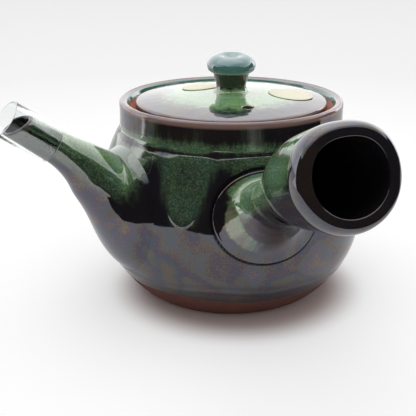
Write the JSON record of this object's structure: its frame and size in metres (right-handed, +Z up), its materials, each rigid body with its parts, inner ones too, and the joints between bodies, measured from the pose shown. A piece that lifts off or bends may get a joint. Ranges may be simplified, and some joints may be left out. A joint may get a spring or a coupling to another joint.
{
  "type": "kyusu teapot",
  "caption": "Side-handled stoneware teapot in a dark green lustre glaze, with a trumpet handle, a drop-in lid with a knob, a steel strainer and a clear sleeve on the spout.",
  "frame": {"origin": "middle of the flat foot, on the surface that the pot stands on", "axes": "+Z up along the pot's axis, -Y towards the handle, the spout turned 73 degrees from the handle towards -X"},
  "size_m": [0.1473, 0.1817, 0.0978],
  "materials": {
    "pot_glaze": "glossy dark green running to grey lustre, bare clay at the foot",
    "lid_glaze": "glossy speckled green",
    "steel": "bright stainless mesh",
    "label_paper": "matt cream paper",
    "clear_vinyl": "clear and glossy"
  },
  "bodies": {
    "pot": {"bowl": "pot_glaze", "spout": "pot_glaze", "handle": "pot_glaze", "strainer_ring": "steel", "strainer_mesh": "steel"},
    "lid": {"lid": "lid_glaze", "lid_knob": "lid_glaze", "round_label": "label_paper", "oval_label": "label_paper"},
    "sleeve": {"spout_sleeve": "clear_vinyl"}
  },
  "joints": [
    {"name": "lid_lift", "type": "slide", "parent": "pot", "child": "lid", "axis": [0, 0, 1], "range_m": [0, 0.06]},
    {"name": "sleeve_pull", "type": "slide", "parent": "pot", "child": "sleeve", "axis": [-0.7737, -0.2365, 0.5878], "range_m": [0, 0.03]}
  ]
}
